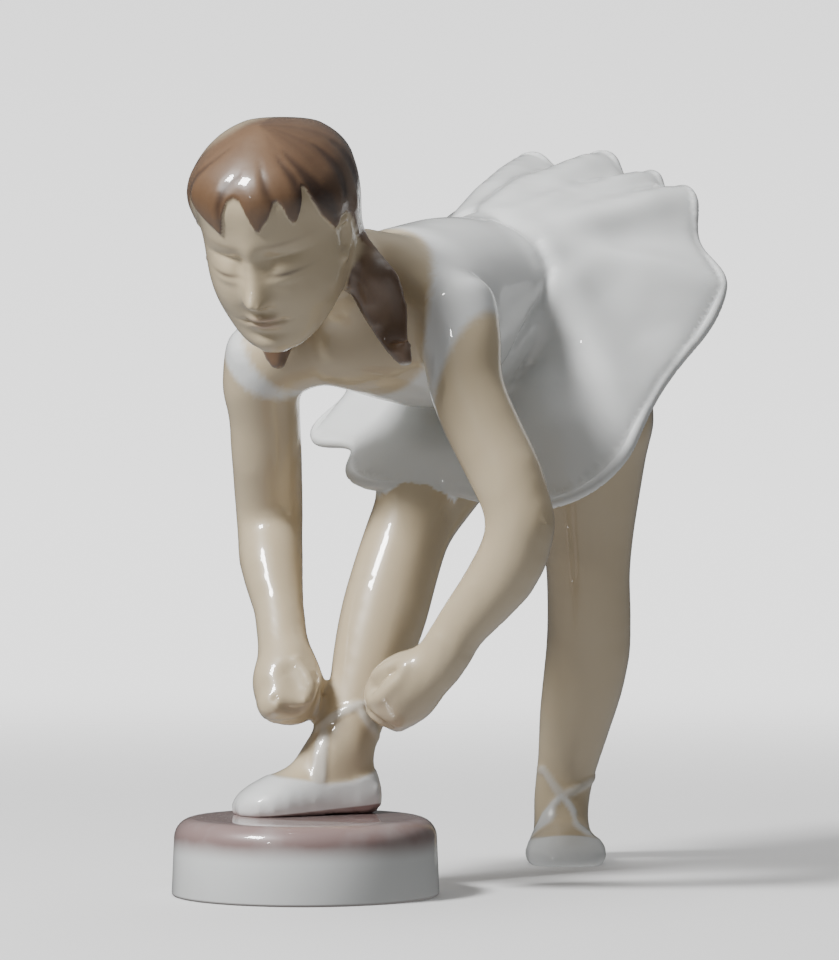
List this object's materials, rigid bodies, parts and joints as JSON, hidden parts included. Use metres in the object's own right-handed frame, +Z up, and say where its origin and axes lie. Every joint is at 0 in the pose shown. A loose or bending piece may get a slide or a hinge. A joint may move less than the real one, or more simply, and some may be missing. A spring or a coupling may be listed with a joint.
{
  "type": "porcelain ballerina figurine",
  "caption": "Glazed porcelain figurine of a young ballerina bending down to tie the ribbon of the slipper that she rests on a low round plinth",
  "frame": {"origin": "centre of the plinth's underside, on the surface that the figurine stands on", "axes": "+Z up; the dancer faces -Y, and her left side is +X"},
  "size_m": [0.0933, 0.1527, 0.1655],
  "materials": {
    "glazed_white": "clear high-gloss glaze over white porcelain, with airbrushed beige skin and brown hair",
    "glazed_mauve": "clear high-gloss glaze, mauve airbrushed top fading into a white side"
  },
  "bodies": {
    "root": {"dancer": "glazed_white", "plinth": "glazed_mauve"}
  },
  "joints": []
}
